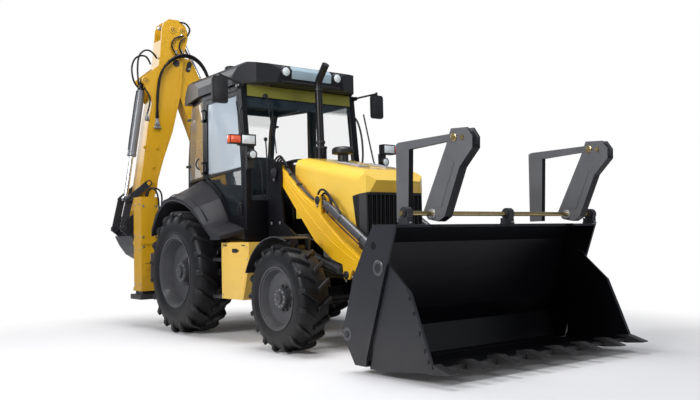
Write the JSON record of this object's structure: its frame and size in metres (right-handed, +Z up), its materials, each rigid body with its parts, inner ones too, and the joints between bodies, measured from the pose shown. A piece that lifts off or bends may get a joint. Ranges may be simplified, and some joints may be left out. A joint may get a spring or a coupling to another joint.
{
  "type": "backhoe loader",
  "caption": "Backhoe loader on rubber tyres with a clam loader bucket and flip-over forks in front and a side-shift digging arm folded behind.",
  "frame": {"origin": "on the ground under the middle of the machine's bounding box", "axes": "+X forward towards the loader bucket, +Y to the machine's left, +Z up"},
  "size_m": [6.217, 2.408, 4.0112],
  "materials": {
    "tyre": "matte",
    "rim": "satin dark grey",
    "chassis": "satin black",
    "engine": "painted casting",
    "yellow": "gloss industrial yellow",
    "box_yellow": "faded yellow",
    "grey": "satin dark grey",
    "bucket": "dark grey, worn",
    "cylinder": "grey",
    "rod": "polished",
    "zinc": "yellow zinc plate",
    "black_plastic": "textured",
    "roof": "dark grey",
    "fender": "dark grey",
    "glass": "tinted",
    "fabric": "woven"
  },
  "bodies": {
    "machine": {"chassis_frame": "chassis", "axles": "chassis", "engine_block": "engine", "side_boxes": "box_yellow", "loader_towers": "yellow", "exhaust_stack": "chassis", "cab_frame": "chassis", "cab_glass": "glass", "cab_roof": "roof", "rear_fenders": "fender", "seat": "fabric", "controls": "black_plastic", "lamps": "black_plastic", "rear_frame": "yellow"},
    "rear_wheel_left": {"rear_left_tyre": "tyre", "rear_left_rim": "rim"},
    "front_wheel_left": {"front_left_tyre": "tyre", "front_left_rim": "rim"},
    "knuckle_left": {"knuckle_left": "black_plastic"},
    "door_left": {"door_left": "chassis", "door_glass_left": "glass"},
    "stabiliser_left": {"stabiliser_leg_left": "grey"},
    "rear_wheel_right": {"rear_right_tyre": "tyre", "rear_right_rim": "rim"},
    "front_wheel_right": {"front_right_tyre": "tyre", "front_right_rim": "rim"},
    "knuckle_right": {"knuckle_right": "black_plastic"},
    "door_right": {"door_right": "chassis", "door_glass_right": "glass"},
    "stabiliser_right": {"stabiliser_leg_right": "grey"},
    "hood": {"hood": "yellow", "grille": "chassis"},
    "loader_arms": {"loader_arms": "yellow"},
    "lift_barrels": {"lift_barrels": "cylinder"},
    "lift_rods": {"lift_rods": "rod"},
    "tilt_barrels": {"tilt_barrels": "cylinder"},
    "tilt_rods": {"tilt_rods": "rod"},
    "loader_bucket": {"loader_bucket": "bucket", "fork_shaft": "zinc", "shaft_brackets": "grey"},
    "clam_jaw": {"clam_jaw": "bucket"},
    "fork_arms": {"fork_arms": "bucket"},
    "fork_tines": {"fork_tines": "bucket"},
    "hoe_carriage": {"hoe_carriage": "grey"},
    "swing_post": {"swing_post": "grey"},
    "boom": {"boom": "yellow"},
    "dipper": {"dipper": "yellow"},
    "boom_barrel": {"boom_barrel": "cylinder"},
    "boom_rod": {"boom_rod": "rod"},
    "dipper_barrel": {"dipper_barrel": "cylinder"},
    "dipper_rod": {"dipper_rod": "rod"},
    "bucket_barrel": {"bucket_barrel": "cylinder"},
    "bucket_rod": {"bucket_rod": "rod"},
    "guide_link": {"guide_link": "grey"},
    "power_link": {"power_link": "grey"},
    "digging_bucket": {"digging_bucket": "bucket"}
  },
  "joints": [
    {"name": "rear_left_spin", "type": "hinge", "parent": "machine", "child": "rear_wheel_left", "pos_m": [-1.3845, 0.86, 0.69], "axis": [0, 1, 0], "continuous": true},
    {"name": "rear_right_spin", "type": "hinge", "parent": "machine", "child": "rear_wheel_right", "pos_m": [-1.3845, -0.86, 0.69], "axis": [0, 1, 0], "continuous": true},
    {"name": "steer_left", "type": "hinge", "parent": "machine", "child": "knuckle_left", "pos_m": [0.7855, 0.7, 0.492], "axis": [0, 0, 1], "range_deg": [-26, 26]},
    {"name": "front_left_spin", "type": "hinge", "parent": "knuckle_left", "child": "front_wheel_left", "pos_m": [0.7855, 0.924, 0.492], "axis": [0, 1, 0], "continuous": true},
    {"name": "steer_right", "type": "hinge", "parent": "machine", "child": "knuckle_right", "pos_m": [0.7855, -0.7, 0.492], "axis": [0, 0, 1], "range_deg": [-26, 26]},
    {"name": "front_right_spin", "type": "hinge", "parent": "knuckle_right", "child": "front_wheel_right", "pos_m": [0.7855, -0.924, 0.492], "axis": [0, 1, 0], "continuous": true},
    {"name": "door_left_hinge", "type": "hinge", "parent": "machine", "child": "door_left", "pos_m": [-1.1785, 0.776, 1.8], "axis": [0, 0, 1], "range_deg": [0, 90]},
    {"name": "door_right_hinge", "type": "hinge", "parent": "machine", "child": "door_right", "pos_m": [-1.1785, -0.776, 1.8], "axis": [0, 0, -1], "range_deg": [0, 90]},
    {"name": "hood_hinge", "type": "hinge", "parent": "machine", "child": "hood", "pos_m": [1.2055, 0, 0.835], "axis": [0, 1, 0], "range_deg": [0, 50]},
    {"name": "lift", "type": "hinge", "parent": "machine", "child": "loader_arms", "pos_m": [0.0005, 0, 1.72], "axis": [0, -1, 0], "range_deg": [-4, 70]},
    {"name": "lift_barrels_pivot", "type": "hinge", "parent": "machine", "child": "lift_barrels", "pos_m": [0.0655, 0, 1], "axis": [0, -1, 0], "range_deg": [-4.7, 65.8]},
    {"name": "lift_rods_slide", "type": "slide", "parent": "lift_barrels", "child": "lift_rods", "axis": [0.9619, 0, -0.2736], "range_m": [-0.0558, 0.8119]},
    {"name": "bucket_tilt", "type": "hinge", "parent": "loader_arms", "child": "loader_bucket", "pos_m": [1.9005, 0, 0.33], "axis": [0, -1, 0], "range_deg": [-80, 40]},
    {"name": "tilt_barrels_pivot", "type": "hinge", "parent": "loader_arms", "child": "tilt_barrels", "pos_m": [0.7155, 0, 1.4], "axis": [0, -1, 0], "range_deg": [-2, 1.5]},
    {"name": "tilt_rods_slide", "type": "slide", "parent": "tilt_barrels", "child": "tilt_rods", "axis": [0.8519, 0, -0.5237], "range_m": [-0.1843, 0.3585]},
    {"name": "clam_hinge", "type": "hinge", "parent": "loader_bucket", "child": "clam_jaw", "pos_m": [2.4255, 0, 0.799], "axis": [0, 1, 0], "range_deg": [-75, 0]},
    {"name": "fork_flip", "type": "hinge", "parent": "loader_bucket", "child": "fork_arms", "pos_m": [2.6355, 0, 1.192], "axis": [0, 1, 0], "range_deg": [0, 95]},
    {"name": "tine_fold", "type": "hinge", "parent": "fork_arms", "child": "fork_tines", "pos_m": [2.8435, 0, 1.743], "axis": [0, 1, 0], "range_deg": [0, 60]},
    {"name": "side_shift", "type": "slide", "parent": "machine", "child": "hoe_carriage", "axis": [0, -1, 0], "range_m": [0, 1.2]},
    {"name": "swing", "type": "hinge", "parent": "hoe_carriage", "child": "swing_post", "pos_m": [-2.8245, 0.62, 0.8], "axis": [0, 0, -1], "range_deg": [0, 180]},
    {"name": "boom_hinge", "type": "hinge", "parent": "swing_post", "child": "boom", "pos_m": [-2.8245, 0.43, 0.74], "axis": [1, 0, 0], "range_deg": [0, 105]},
    {"name": "boom_barrel_pivot", "type": "hinge", "parent": "swing_post", "child": "boom_barrel", "pos_m": [-2.8245, 0.6, 1.13], "axis": [1, 0, 0], "range_deg": [-1, 111.7]},
    {"name": "boom_rod_slide", "type": "slide", "parent": "boom_barrel", "child": "boom_rod", "axis": [0, -0.1789, 0.9839], "range_m": [-0.01, 0.6575]},
    {"name": "dipper_hinge", "type": "hinge", "parent": "boom", "child": "dipper", "pos_m": [-2.8245, -0.4, 3.42], "axis": [-1, 0, 0], "range_deg": [0, 105]},
    {"name": "dipper_barrel_pivot", "type": "hinge", "parent": "boom", "child": "dipper_barrel", "pos_m": [-2.8245, 0.5, 2.3], "axis": [1, 0, 0], "range_deg": [-6, 1]},
    {"name": "dipper_rod_slide", "type": "slide", "parent": "dipper_barrel", "child": "dipper_rod", "axis": [0, -0.4551, 0.8904], "range_m": [-0.7278, 0.01]},
    {"name": "dig_tilt", "type": "hinge", "parent": "dipper", "child": "digging_bucket", "pos_m": [-2.8245, -0.9, 1.42], "axis": [-1, 0, 0], "range_deg": [0, 100]},
    {"name": "guide_pivot", "type": "hinge", "parent": "dipper", "child": "guide_link", "pos_m": [-2.8245, -0.815, 1.798], "axis": [-1, 0, 0], "range_deg": [0, 100]},
    {"name": "power_pivot", "type": "hinge", "parent": "guide_link", "child": "power_link", "pos_m": [-2.8245, -1.065, 1.598], "axis": [-1, 0, 0], "range_deg": [-100, 0]},
    {"name": "bucket_barrel_pivot", "type": "hinge", "parent": "dipper", "child": "bucket_barrel", "pos_m": [-2.8245, -0.83, 3.145], "axis": [1, 0, 0], "range_deg": [-3.7, 1]},
    {"name": "bucket_rod_slide", "type": "slide", "parent": "bucket_barrel", "child": "bucket_rod", "axis": [0, -0.1502, -0.9887], "range_m": [-0.4997, 0.01]},
    {"name": "stabiliser_left_slide", "type": "slide", "parent": "machine", "child": "stabiliser_left", "axis": [0, 0, -1], "range_m": [0, 0.5]},
    {"name": "stabiliser_right_slide", "type": "slide", "parent": "machine", "child": "stabiliser_right", "axis": [0, 0, -1], "range_m": [0, 0.5]}
  ],
  "couplings": [
    {"joint": "steer_right", "follows": "steer_left", "ratio": 1},
    {"joint": "lift_barrels_pivot", "follows": "lift", "ratio": 0.9253},
    {"joint": "lift_rods_slide", "follows": "lift", "m_per_rad": 0.6564},
    {"joint": "tilt_barrels_pivot", "follows": "bucket_tilt", "ratio": 0.012},
    {"joint": "tilt_rods_slide", "follows": "bucket_tilt", "m_per_rad": -0.2496},
    {"joint": "boom_barrel_pivot", "follows": "boom_hinge", "ratio": 1.0542},
    {"joint": "boom_rod_slide", "follows": "boom_hinge", "m_per_rad": 0.3533},
    {"joint": "dipper_barrel_pivot", "follows": "dipper_hinge", "ratio": -0.0474},
    {"joint": "dipper_rod_slide", "follows": "dipper_hinge", "m_per_rad": -0.3917},
    {"joint": "guide_pivot", "follows": "dig_tilt", "ratio": 1},
    {"joint": "power_pivot", "follows": "dig_tilt", "ratio": -1},
    {"joint": "bucket_barrel_pivot", "follows": "dig_tilt", "ratio": -0.0273},
    {"joint": "bucket_rod_slide", "follows": "dig_tilt", "m_per_rad": -0.2806}
  ]
}
